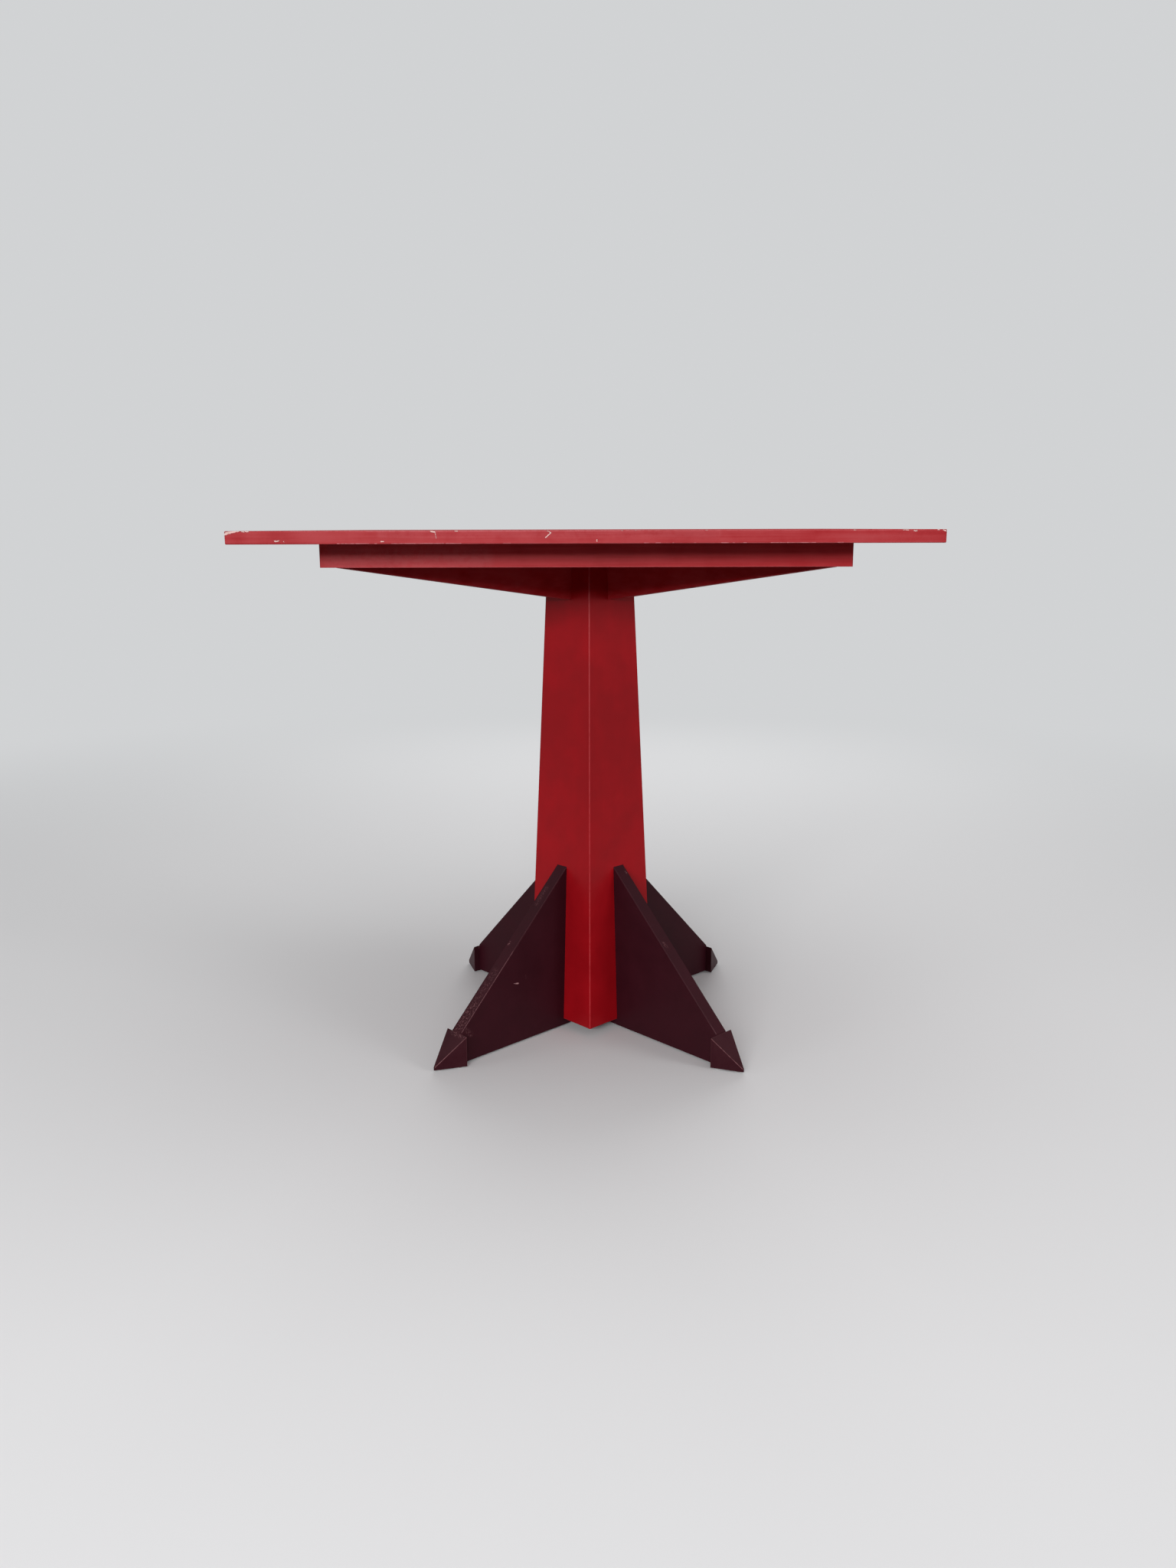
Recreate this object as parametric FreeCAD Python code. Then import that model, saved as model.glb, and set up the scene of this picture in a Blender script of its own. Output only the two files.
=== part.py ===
import FreeCAD, Part
import math
import os

# Square pedestal dining table of lacquered wood.
# A thin square top lies on a set-back frame of four mitred rails. Two bearers cross on the
# diagonals under it and sit in slots at the head of a hollow, tapered column, which is turned
# 45 degrees to the top. Two foot boards cross in the column's foot, pass out through slots
# in its walls and slope down to a pointed shoe at each end, raised on domed nail glides.
#
# Lengths are in millimetres. The origin is on the floor under the middle of the top, +Z is
# up and -Y is the front. Column, bearers, foot boards and shoes are drawn square to the
# axes and then turned onto the diagonals.

V = FreeCAD.Vector

# Overall
table_height = 750.0

# Tabletop
top_side = 818.0
top_thickness = 15.0
top_round = 1.2
top_corner_radius = 2.0

# Apron rails, mitred into a square frame that is set back under the top
top_overhang = 87.0
apron_depth = 29.0
apron_thickness = 15.0
apron_arris = 1.2

# Bearers: deep where they cross in the column, as deep as the apron in its corners
bearer_thickness = 18.0
bearer_root_depth = 84.0

# Column: four tapered walls round a hollow
column_lift = 13.0
column_foot_side = 137.0
column_head_side = 88.0
column_wall = 15.0
column_arris = 1.4

# Glued strips in the column's inner corners
strip_leg = 12.0
strip_inset = 12.0

# Foot boards: their sloped tops meet the column's faces at foot_board_top
foot_board_thickness = 21.0
foot_board_lift = 3.0
foot_board_top = 253.5
foot_board_end_height = 46.0
foot_board_reach = 266.5
foot_board_arris = 1.0

# Stub tenon on each end of a foot board
tenon_thickness = 9.0
tenon_height = 16.0
tenon_length = 16.0
tenon_rise = 5.0

# Shoes: a half pyramid whose upright back stands against the foot board's end
shoe_width = 44.0
shoe_height = 44.5
shoe_length = 42.5
shoe_tip_height = 4.6
shoe_tip_width = 1.6

# Domed nail glides, two behind and one near the tip of each shoe
glide_diameter = 9.0
glide_height = 2.0
glide_rim = 0.6
glide_flat_diameter = 4.0
glide_pin_diameter = 1.8
glide_pin_length = 10.0
glide_point_length = 2.5
glide_tip_diameter = 0.4
glide_dome_steps = 3
glide_back_inset = 7.0
glide_side_spacing = 26.0
glide_tip_inset = 9.0

# Countersunk wood screws
screw_diameter = 4.0
screw_head_diameter = 7.6
screw_head_height = 2.4
screw_point_length = 4.0
screw_tip_diameter = 0.6
screw_bite = 10.0
bearer_screw_length = 45.0
bearer_screw_end_inset = 63.0
bearer_screw_spacing = 170.0
apron_screw_length = 35.0
apron_screw_end_inset = 91.0
apron_screws_per_rail = 3

# Fits
slot_fit = 0.1
mortise_fit = 0.1
mortise_end_gap = 0.6
screw_fit = 0.1
glide_fit = 0.05
bore_overrun = 1.0

# Angles in degrees, and counts
diagonal_turn = 45.0
quarter_turn = 90.0
quarters = 4
small_round_sides = 16
round_steps = 3

# Heights and half widths that follow
top_underside = table_height - top_thickness
apron_side = top_side - 2 * top_overhang
apron_underside = top_underside - apron_depth
apron_inner_half = apron_side / 2 - apron_thickness
bearer_end_reach = apron_inner_half * math.sqrt(2)
bearer_root = top_underside - bearer_root_depth
shoe_underside = glide_height
foot_board_end_top = foot_board_lift + foot_board_end_height
tenon_underside = foot_board_lift + tenon_rise
shoe_tip_reach = foot_board_reach + shoe_length


def column_half(z):
    """Half the column's outer width at height z: its straight taper from foot to head."""
    rise_share = (z - column_lift) / (top_underside - column_lift)
    return (column_foot_side + (column_head_side - column_foot_side) * rise_share) / 2


def flat_face(points):
    """Flat face bounded by the given points."""
    return Part.Face(Part.makePolygon(points + points[:1]))


def stacked_solid(outlines):
    """Closed solid through a stack of outlines with as many corners each, all faces flat."""
    faces = [flat_face(outlines[0]), flat_face(outlines[-1])]
    count = len(outlines[0])
    for low, high in zip(outlines, outlines[1:]):
        for index in range(count):
            after = (index + 1) % count
            faces.append(flat_face([low[index], low[after], high[after], high[index]]))
    solid = Part.makeSolid(Part.makeShell(faces))
    if solid.Volume < 0:
        solid.reverse()
    return solid


def board_from_side(outline, thickness):
    """Board with the given (x, z) outline, centred on the XZ plane."""
    face = flat_face([V(x, -thickness / 2, z) for x, z in outline])
    return face.extrude(V(0, thickness, 0))


def centred_box(length_x, length_y, z_low, z_high):
    """Box centred on the Z axis between two heights."""
    corner = V(-length_x / 2, -length_y / 2, z_low)
    return Part.makeBox(length_x, length_y, z_high - z_low, corner)


def turned(shape, degrees):
    """Copy of a shape turned about the Z axis."""
    copy = shape.copy()
    copy.rotate(V(0, 0, 0), V(0, 0, 1), degrees)
    return copy


def on_diagonal(shape, quarter):
    """Copy of a shape drawn along +X, turned to the diagonal of the given quarter."""
    return turned(shape, diagonal_turn + quarter_turn * quarter)


def ring(radius, z):
    """Corners of a regular outline round the Z axis, with small_round_sides sides."""
    corners = []
    for index in range(small_round_sides):
        angle = 2 * math.pi * index / small_round_sides
        corners.append(V(radius * math.cos(angle), radius * math.sin(angle), z))
    return corners


def small_turning(profile):
    """Small solid turned about the Z axis from (radius, z) points, with flats for the round."""
    return stacked_solid([ring(radius, z) for radius, z in profile])


def screw(length, tip_z):
    """Countersunk screw on the Z axis, head down, with its point at height tip_z."""
    radius = screw_diameter / 2
    head_z = tip_z - length
    return small_turning([
        (screw_head_diameter / 2, head_z),
        (radius, head_z + screw_head_height),
        (radius, tip_z - screw_point_length),
        (screw_tip_diameter / 2, tip_z),
    ])


def screw_bore(length, tip_z, mouth_z):
    """Hole for such a screw: counterbore up from mouth_z, countersink, shank and point."""
    shank = screw_diameter / 2 + screw_fit
    head = screw_head_diameter / 2 + screw_fit
    head_z = tip_z - length
    low_z = min(mouth_z, head_z) - bore_overrun
    return small_turning([
        (head, low_z),
        (head, head_z),
        (shank, head_z + screw_head_height),
        (shank, tip_z - screw_point_length),
        (screw_tip_diameter / 2 + screw_fit, tip_z + screw_fit),
    ])


def bearer_screw_places():
    """Plan places of the bearers' screws, two in each arm, set back from its pointed end."""
    outer = bearer_end_reach - bearer_screw_end_inset
    places = []
    for quarter in range(quarters):
        turn = FreeCAD.Rotation(V(0, 0, 1), diagonal_turn + quarter_turn * quarter)
        for reach in (outer, outer - bearer_screw_spacing):
            places.append(turn.multVec(V(reach, 0, 0)))
    return places


def apron_screw_places(quarter):
    """Plan places of one rail's screws, evenly spaced on the middle of its thickness."""
    turn = FreeCAD.Rotation(V(0, 0, 1), quarter_turn * quarter)
    middle = apron_side / 2 - apron_thickness / 2
    first = apron_screw_end_inset - apron_side / 2
    step = -2 * first / (apron_screws_per_rail - 1)
    places = []
    for index in range(apron_screws_per_rail):
        places.append(turn.multVec(V(first + step * index, -middle, 0)))
    return places


def bearer_bores():
    """Bores of the bearers' screws, from the bearers' undersides into the top."""
    bore = screw_bore(bearer_screw_length, top_underside + screw_bite, bearer_root)
    return [bore.translated(place) for place in bearer_screw_places()]


def apron_bores(quarter):
    """Bores of one rail's screws, from its underside into the top."""
    bore = screw_bore(apron_screw_length, top_underside + screw_bite, apron_underside)
    return [bore.translated(place) for place in apron_screw_places(quarter)]


def top_outline(inset, z):
    """Square plan of the top with rounded corners, drawn in by `inset`, at height z."""
    centre = top_side / 2 - top_corner_radius
    radius = top_corner_radius - inset
    points = []
    for quarter in range(quarters):
        turn = math.radians(diagonal_turn + quarter_turn * quarter)
        middle_x = centre * math.copysign(1, math.cos(turn))
        middle_y = centre * math.copysign(1, math.sin(turn))
        for step in range(round_steps + 1):
            share = quarter + step / round_steps
            angle = math.radians(quarter_turn * share)
            points.append(V(
                middle_x + radius * math.cos(angle), middle_y + radius * math.sin(angle), z))
    return points


def tabletop():
    """Thin square board with rounded edges and blind bores for the screws below."""
    lower, upper = [], []
    for step in range(round_steps + 1):
        angle = math.radians(quarter_turn * step / round_steps)
        inset = top_round * (1 - math.sin(angle))
        rise = top_round * (1 - math.cos(angle))
        lower.append(top_outline(inset, top_underside + rise))
        upper.insert(0, top_outline(inset, table_height - rise))
    board = stacked_solid(lower + upper)
    holes = bearer_bores()
    for quarter in range(quarters):
        holes += apron_bores(quarter)
    return board.cut(Part.makeCompound(holes))


def apron_rail(quarter):
    """Mitred rail on the front side, turned to its own side of the frame."""
    outer = apron_side / 2
    full = outer - apron_arris
    shared = outer - apron_arris / 2
    inner = apron_inner_half
    plan = [
        (-full, -outer), (full, -outer), (shared, -shared),
        (inner, -inner), (-inner, -inner), (-shared, -shared),
    ]
    face = flat_face([V(x, y, apron_underside) for x, y in plan])
    rail = face.extrude(V(0, 0, apron_depth))
    rail = turned(rail, quarter_turn * quarter)
    return rail.cut(Part.makeCompound(apron_bores(quarter)))


def bearer(is_lower):
    """Bearer along X. The lower one is notched from above, the upper one from below."""
    end = bearer_end_reach
    face_x = column_half(bearer_root)
    board = board_from_side([
        (-end, top_underside), (end, top_underside), (end, apron_underside),
        (face_x, bearer_root), (-face_x, bearer_root), (-end, apron_underside),
    ], bearer_thickness)
    middle = (top_underside + bearer_root) / 2
    notch_width = bearer_thickness + 2 * slot_fit
    if is_lower:
        notch = centred_box(notch_width, notch_width, middle, top_underside)
    else:
        notch = centred_box(notch_width, notch_width, bearer_root, middle)
    return board.cut(notch)


def fitted_bearer(is_lower, quarter):
    """Bearer on its diagonal, its ends pointed to fill the frame's inner corners."""
    frame_side = 2 * apron_inner_half
    inside_frame = centred_box(frame_side, frame_side, bearer_root, top_underside)
    board = on_diagonal(bearer(is_lower), quarter).common(inside_frame)
    return board.cut(Part.makeCompound(bearer_bores()))


def column_wall_outline(z):
    """Plan of the column's +X wall at height z, from mitre to mitre."""
    outer = column_half(z)
    full = outer - column_arris
    shared = outer - column_arris / 2
    inner = outer - column_wall
    plan = [
        (outer, -full), (outer, full), (shared, shared),
        (inner, inner), (inner, -inner), (shared, -shared),
    ]
    return [V(x, y, z) for x, y in plan]


def column_board():
    """Tapered wall on the +X side, slotted at its head and foot for the crossing boards."""
    wall = stacked_solid([
        column_wall_outline(column_lift), column_wall_outline(top_underside)])
    head_slot = centred_box(
        2 * column_foot_side, bearer_thickness + 2 * slot_fit, bearer_root, top_underside)
    foot_slot = centred_box(
        2 * column_foot_side, foot_board_thickness + 2 * slot_fit, column_lift, foot_board_top)
    return wall.cut(Part.makeCompound([head_slot, foot_slot]))


def strip_outline(z):
    """Plan of the strip in the column's +X +Y inner corner at height z."""
    corner = column_half(z) - column_wall
    back = corner - strip_leg
    return [V(corner, corner, z), V(back, corner, z), V(corner, back, z)]


def column_strip():
    """Three-cornered strip that follows the taper of the column's inner corner."""
    low = column_lift + strip_inset
    return stacked_solid([strip_outline(low), strip_outline(top_underside)])


def sloped_edges(shape, half_thickness):
    """Outer edges of a board that lie on its sides and run neither level nor upright."""
    found = []
    for edge in shape.Edges:
        first, last = edge.Vertexes[0].Point, edge.Vertexes[-1].Point
        on_side = all(abs(abs(p.y) - half_thickness) < slot_fit for p in (first, last))
        if on_side and first.x != last.x and abs(first.z - last.z) > foot_board_arris:
            found.append(edge)
    return found


def foot_board(is_lower):
    """Foot board along X with sloped, eased tops, a notch in the middle and stub tenons."""
    face_x = column_half(foot_board_top)
    reach = foot_board_reach
    board = board_from_side([
        (-reach, foot_board_lift), (reach, foot_board_lift), (reach, foot_board_end_top),
        (face_x, foot_board_top), (-face_x, foot_board_top), (-reach, foot_board_end_top),
    ], foot_board_thickness)
    eased = sloped_edges(board, foot_board_thickness / 2)
    board = board.makeChamfer(foot_board_arris, eased)
    tenon_span = 2 * (reach + tenon_length)
    tenons = centred_box(
        tenon_span, tenon_thickness, tenon_underside, tenon_underside + tenon_height)
    board = board.fuse(tenons).removeSplitter()
    middle = (foot_board_lift + foot_board_top) / 2
    notch_width = foot_board_thickness + 2 * slot_fit
    if is_lower:
        notch = centred_box(notch_width, notch_width, middle, foot_board_top)
    else:
        notch = centred_box(notch_width, notch_width, foot_board_lift, middle)
    return board.cut(notch)


def glide_places():
    """Plan places of one shoe's glides, with the shoe drawn along +X."""
    back = foot_board_reach + glide_back_inset
    tip = shoe_tip_reach - glide_tip_inset
    side = glide_side_spacing / 2
    return [V(back, -side, 0), V(back, side, 0), V(tip, 0, 0)]


def glide():
    """Domed nail on the Z axis, pin up. Its dome runs smoothly into a small flat below."""
    flat = glide_flat_diameter / 2
    rim = glide_diameter / 2
    shoulder = glide_height - glide_rim
    run = rim - flat
    dome_radius = (run ** 2 + shoulder ** 2) / (2 * shoulder)
    dome_angle = math.atan2(run, dome_radius - shoulder)
    profile = []
    for step in range(glide_dome_steps + 1):
        angle = dome_angle * step / glide_dome_steps
        profile.append((
            flat + dome_radius * math.sin(angle),
            dome_radius * (1 - math.cos(angle)),
        ))
    pin = glide_pin_diameter / 2
    tip_z = glide_height + glide_pin_length
    return small_turning(profile + [
        (rim, glide_height),
        (pin, glide_height),
        (pin, tip_z - glide_point_length),
        (glide_tip_diameter / 2, tip_z),
    ])


def pin_bore():
    """Hole for a glide's pin in the underside of a shoe."""
    radius = glide_pin_diameter / 2 + glide_fit
    tip_z = glide_height + glide_pin_length
    return small_turning([
        (radius, shoe_underside - bore_overrun),
        (radius, tip_z - glide_point_length),
        (glide_tip_diameter / 2 + glide_fit, tip_z + glide_fit),
    ])


def shoe():
    """Half pyramid along +X: upright back, converging sides and a top sloped to the tip."""
    back_top = shoe_underside + shoe_height
    tip_top = shoe_underside + shoe_tip_height
    side_view = board_from_side([
        (foot_board_reach, shoe_underside), (shoe_tip_reach, shoe_underside),
        (shoe_tip_reach, tip_top), (foot_board_reach, back_top),
    ], shoe_width)
    plan = [
        (foot_board_reach, -shoe_width / 2), (shoe_tip_reach, -shoe_tip_width / 2),
        (shoe_tip_reach, shoe_tip_width / 2), (foot_board_reach, shoe_width / 2),
    ]
    plan_face = flat_face([V(x, y, shoe_underside) for x, y in plan])
    body = side_view.common(plan_face.extrude(V(0, 0, shoe_height)))
    mortise_half = foot_board_reach + tenon_length + mortise_end_gap
    mortise = centred_box(
        2 * mortise_half, tenon_thickness + 2 * mortise_fit,
        tenon_underside - mortise_fit, tenon_underside + tenon_height + mortise_fit)
    holes = [pin_bore().translated(place) for place in glide_places()]
    return body.cut(Part.makeCompound([mortise] + holes))


def floor_glides():
    """The glides of all four shoes."""
    nails = []
    for quarter in range(quarters):
        for place in glide_places():
            nails.append(on_diagonal(glide().translated(place), quarter))
    return Part.makeCompound(nails)


def screws(places, length):
    """Screws of one length up into the top."""
    one = screw(length, top_underside + screw_bite)
    return Part.makeCompound([one.translated(place) for place in places])


def all_nodes():
    """Every piece by its node's name."""
    nodes = {"tabletop": tabletop()}
    for quarter, side in enumerate(("front", "right", "back", "left")):
        nodes["apron_" + side] = apron_rail(quarter)
    nodes["bearer_lower"] = fitted_bearer(True, 0)
    nodes["bearer_upper"] = fitted_bearer(False, 1)
    corners = ("back_right", "back_left", "front_left", "front_right")
    for quarter, corner in enumerate(corners):
        nodes["column_board_" + corner] = on_diagonal(column_board(), quarter)
        nodes["shoe_" + corner] = on_diagonal(shoe(), quarter)
    for quarter, side in enumerate(("back", "left", "front", "right")):
        nodes["column_strip_" + side] = on_diagonal(column_strip(), quarter)
    nodes["foot_board_lower"] = on_diagonal(foot_board(True), 0)
    nodes["foot_board_upper"] = on_diagonal(foot_board(False), 1)
    nodes["floor_glides"] = floor_glides()
    nodes["bearer_screws"] = screws(bearer_screw_places(), bearer_screw_length)
    rail_places = []
    for quarter in range(quarters):
        rail_places += apron_screw_places(quarter)
    nodes["apron_screws"] = screws(rail_places, apron_screw_length)
    return nodes


os.makedirs("parts", exist_ok=True)
for name, shape in all_nodes().items():
    shape.exportStep("parts/" + name + ".step")
    print(name, len(shape.Solids), "solid(s)", round(shape.Volume), "mm3")
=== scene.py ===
import math

import bpy
import numpy as np
from mathutils import Matrix, Vector


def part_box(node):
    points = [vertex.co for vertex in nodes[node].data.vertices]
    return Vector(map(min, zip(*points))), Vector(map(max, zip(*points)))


# The table's construction, fixed, and its box before anything is dressed. Each section below
# reads where its own pieces are from here, and repeats the real sizes that a box doesn't give.
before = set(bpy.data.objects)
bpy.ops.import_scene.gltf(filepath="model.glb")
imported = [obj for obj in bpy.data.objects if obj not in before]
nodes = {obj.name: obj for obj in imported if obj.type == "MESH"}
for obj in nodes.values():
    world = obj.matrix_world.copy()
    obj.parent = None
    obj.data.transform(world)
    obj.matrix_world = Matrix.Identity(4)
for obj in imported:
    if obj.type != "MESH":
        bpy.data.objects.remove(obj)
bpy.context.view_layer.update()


# Studio floor: one wide pale disc that the table stands on. It isn't part of the table.
# Its rim lies far behind the table, where it meets the pale surroundings.
floor_radius = 14.0
floor_rings = 24
floor_spokes = 64
floor_pale = (0.80, 0.80, 0.81, 1.0)
floor_bounce = (0.13, 0.12, 0.12, 1.0)
floor_roughness = 0.9
floor_gloss = 0.1
floor_fade_from = 0.9
floor_fade_to = 3.4
surround_colour = (0.64, 0.65, 0.66, 1.0)
surround_light = 0.24


def disc_mesh(name, radius, rings, spokes):
    """Flat disc on z = 0: each point is share * radius out along its spoke's direction."""
    share = np.linspace(0.0, 1.0, rings + 1)[1:]
    turn = np.linspace(0.0, 2.0 * np.pi, spokes, endpoint=False)
    x = (share[:, None] * np.cos(turn)).ravel() * radius
    y = (share[:, None] * np.sin(turn)).ravel() * radius
    points = np.stack([x, y, np.zeros_like(x)], axis=1)
    points = np.vstack([points, [[0.0, 0.0, 0.0]]])
    centre = len(points) - 1
    here = np.arange(spokes)
    after = (here + 1) % spokes
    inner = np.arange(rings - 1)[:, None] * spokes
    outer = inner + spokes
    fan = np.stack([here, after, np.full_like(here, centre)], axis=1)
    quads = np.stack([inner + here, outer + here, outer + after, inner + after], axis=-1)
    mesh = bpy.data.meshes.new(name)
    mesh.from_pydata(points.tolist(), [], fan.tolist() + quads.reshape(-1, 4).tolist())
    mesh.update()
    return mesh


floor = bpy.data.objects.new(
    "studio_floor", disc_mesh("studio_floor", floor_radius, floor_rings, floor_spokes))
bpy.context.scene.collection.objects.link(floor)


def shows_surround(tree):
    """1 for what the camera sees directly, in a reflection or through glass, else 0."""
    path = tree.nodes.new("ShaderNodeLightPath")
    total = None
    for ray in ("Is Camera Ray", "Is Glossy Ray", "Is Transmission Ray"):
        if total is None:
            total = path.outputs[ray]
            continue
        more = tree.nodes.new("ShaderNodeMath")
        more.operation = "MAXIMUM"
        tree.links.new(total, more.inputs[0])
        tree.links.new(path.outputs[ray], more.inputs[1])
        total = more.outputs[0]
    return total


# The floor is pale to the eye and throws little light up under the table. Far from the table
# it fades into the surroundings.
floor_paint = bpy.data.materials.new("studio_floor")
floor_paint.use_nodes = True
ground = floor_paint.node_tree
ground_shader = ground.nodes["Principled BSDF"]
ground_shader.inputs["Roughness"].default_value = floor_roughness
ground_shader.inputs["Specular IOR Level"].default_value = floor_gloss
ground_seen = shows_surround(ground)
ground_tone = ground.nodes.new("ShaderNodeMix")
ground_tone.data_type = "RGBA"
ground_tone.inputs[6].default_value = floor_bounce
ground_tone.inputs[7].default_value = floor_pale
ground.links.new(ground_seen, ground_tone.inputs[0])
ground.links.new(ground_tone.outputs[2], ground_shader.inputs["Base Color"])
ground_place = ground.nodes.new("ShaderNodeTexCoord")
ground_reach = ground.nodes.new("ShaderNodeVectorMath")
ground_reach.operation = "LENGTH"
ground.links.new(ground_place.outputs["Object"], ground_reach.inputs[0])
ground_fade = ground.nodes.new("ShaderNodeMapRange")
ground_fade.interpolation_type = "SMOOTHSTEP"
ground_fade.inputs["From Min"].default_value = floor_fade_from
ground_fade.inputs["From Max"].default_value = floor_fade_to
ground.links.new(ground_reach.outputs["Value"], ground_fade.inputs["Value"])
ground_far = ground.nodes.new("ShaderNodeMath")
ground_far.operation = "MULTIPLY"
ground.links.new(ground_fade.outputs["Result"], ground_far.inputs[0])
ground.links.new(ground_seen, ground_far.inputs[1])
ground_glow = ground.nodes.new("ShaderNodeEmission")
ground_glow.inputs["Color"].default_value = surround_colour
ground_blend = ground.nodes.new("ShaderNodeMixShader")
ground.links.new(ground_far.outputs[0], ground_blend.inputs[0])
ground.links.new(ground_shader.outputs[0], ground_blend.inputs[1])
ground.links.new(ground_glow.outputs[0], ground_blend.inputs[2])
ground.links.new(ground_blend.outputs[0], ground.nodes["Material Output"].inputs["Surface"])
floor.data.materials.append(floor_paint)

world = bpy.data.worlds.new("studio")
bpy.context.scene.world = world
world.use_nodes = True
surround = world.node_tree
surround.nodes.clear()
seen = surround.nodes.new("ShaderNodeBackground")
seen.inputs["Color"].default_value = surround_colour
lit = surround.nodes.new("ShaderNodeBackground")
lit.inputs["Color"].default_value = (1.0, 1.0, 1.0, 1.0)
lit.inputs["Strength"].default_value = surround_light
choose = surround.nodes.new("ShaderNodeMixShader")
world_out = surround.nodes.new("ShaderNodeOutputWorld")
surround.links.new(shows_surround(surround), choose.inputs[0])
surround.links.new(lit.outputs[0], choose.inputs[1])
surround.links.new(seen.outputs[0], choose.inputs[2])
surround.links.new(choose.outputs[0], world_out.inputs["Surface"])


# Camera: the eye stands just above the height of the top, a little right of the middle,
# and looks down at the pedestal. Focal length and angles come from the picture's own lines.
image_width_px = 1536
image_height_px = 2048
focal_length_px = 1581.9
sensor_long_side_mm = 36.0
eye = Vector((0.0315, -1.8067, 0.7525))
eye_yaw = math.radians(-1.117)
eye_pitch_down = math.radians(11.939)
eye_roll = math.radians(-0.166)
nearest_seen = 0.05
farthest_seen = 60.0

ahead = Vector((
    math.sin(eye_yaw) * math.cos(eye_pitch_down),
    math.cos(eye_yaw) * math.cos(eye_pitch_down),
    -math.sin(eye_pitch_down),
))
level_right = Vector((math.cos(eye_yaw), -math.sin(eye_yaw), 0.0))
level_up = level_right.cross(ahead)
right = math.cos(eye_roll) * level_right + math.sin(eye_roll) * level_up
upward = math.cos(eye_roll) * level_up - math.sin(eye_roll) * level_right
camera_data = bpy.data.cameras.new("camera")
camera_data.sensor_width = sensor_long_side_mm
camera_data.lens = focal_length_px * sensor_long_side_mm / max(image_width_px, image_height_px)
camera_data.clip_start = nearest_seen
camera_data.clip_end = farthest_seen
camera = bpy.data.objects.new("camera", camera_data)
turned = Matrix((right, upward, -ahead)).transposed().to_4x4()
camera.matrix_world = Matrix.Translation(eye) @ turned
bpy.context.scene.collection.objects.link(camera)
bpy.context.scene.camera = camera
bpy.context.scene.view_settings.view_transform = "Standard"


# Soft boxes: three low ones round the front, which leave the frame in the shade of the top,
# a gentle one overhead and one behind. Each is place, size across and up, and power, and all
# aim at the middle of the table.
aim = Vector((0.0, 0.0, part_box("tabletop")[1].z / 2))
soft_boxes = {
    "front_box": (Vector((-0.75, -3.6, 1.49)), 2.4, 0.6, 90.0),
    "left_box": (Vector((-3.3, -1.5, 1.35)), 1.4, 0.9, 9.0),
    "right_box": (Vector((3.3, -1.7, 1.30)), 1.4, 0.9, 28.0),
    "high_box": (Vector((0.5, -0.4, 3.0)), 2.6, 2.6, 19.0),
    "back_box": (Vector((0.2, 3.2, 1.7)), 2.4, 1.2, 40.0),
}
for name, (place, across, up, power) in soft_boxes.items():
    lamp_data = bpy.data.lights.new(name, "AREA")
    lamp_data.shape = "RECTANGLE"
    lamp_data.size = across
    lamp_data.size_y = up
    lamp_data.energy = power
    lamp = bpy.data.objects.new(name, lamp_data)
    lamp.rotation_mode = "QUATERNION"
    lamp.rotation_quaternion = (aim - place).to_track_quat("-Z", "Y")
    lamp.location = place
    lamp.visible_camera = False
    bpy.context.scene.collection.objects.link(lamp)


# Tabletop: one thin square board, lacquered red on every side over a pale pink undercoat.
# Knocks have chipped the lacquer off its edges down to the undercoat, most at the corners.
top_low, top_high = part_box("tabletop")
mm = 0.001
red = (0.36, 0.0045, 0.0090)
red_haze = (0.43, 0.058, 0.065)
undercoat = (0.86, 0.60, 0.56)
undercoat_dirty = (0.70, 0.48, 0.43)
# Colour of rubbed lacquer, also used for a painted highlight on the top's upper arrises and for
# painted light at the rails' left ends.
red_rubbed_and_lit = (0.62, 0.20, 0.22)
chip_rim = (0.055, 0.006, 0.008)


def put(tree, kind, *values, **settings):
    """Adds a shader node. Settings are its properties, and values go to its inputs in order."""
    node = tree.nodes.new("ShaderNode" + kind)
    for key, value in settings.items():
        setattr(node, key, value)
    for place, value in enumerate(values):
        if isinstance(value, bpy.types.NodeSocket):
            tree.links.new(value, node.inputs[place])
        elif value is not None:
            node.inputs[place].default_value = value
    return node


def calc(tree, operation, *values):
    """Result of one sum on numbers."""
    return put(tree, "Math", *values, operation=operation).outputs[0]


def lay(tree, operation, *values):
    """Result of one sum on places, as a place."""
    return put(tree, "VectorMath", *values, operation=operation).outputs["Vector"]


def gauge(tree, operation, *values):
    """Result of one sum on places, as a number."""
    return put(tree, "VectorMath", *values, operation=operation).outputs["Value"]


def noise(tree, place, per_metre, detail=3.0, roughness=0.5, distortion=0.0):
    """Smooth random noise, with that many patches to the metre."""
    node = tree.nodes.new("ShaderNodeTexNoise")
    tree.links.new(place, node.inputs["Vector"])
    node.inputs["Scale"].default_value = per_metre
    node.inputs["Detail"].default_value = detail
    node.inputs["Roughness"].default_value = roughness
    node.inputs["Distortion"].default_value = distortion
    return node


def mottle(tree, place, *unevenness):
    """Smooth random value from 0 to 1."""
    return noise(tree, place, *unevenness).outputs["Fac"]


def rise(tree, value, low, high, height=1.0):
    """0 below low, the height above high and a smooth rise between them."""
    node = tree.nodes.new("ShaderNodeMapRange")
    node.interpolation_type = "SMOOTHSTEP"
    tree.links.new(value, node.inputs["Value"])
    node.inputs["From Min"].default_value = low
    node.inputs["From Max"].default_value = high
    node.inputs["To Max"].default_value = height
    return node.outputs["Result"]


def fall(tree, value, low, high):
    """1 below low, 0 above high and a smooth fall between them."""
    return calc(tree, "SUBTRACT", 1.0, rise(tree, value, low, high))


def pick(tree, operation, values):
    """The least or the largest of many numbers, taken two at a time."""
    picked = values[0]
    for other in values[1:]:
        picked = calc(tree, operation, picked, other)
    return picked


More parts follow.
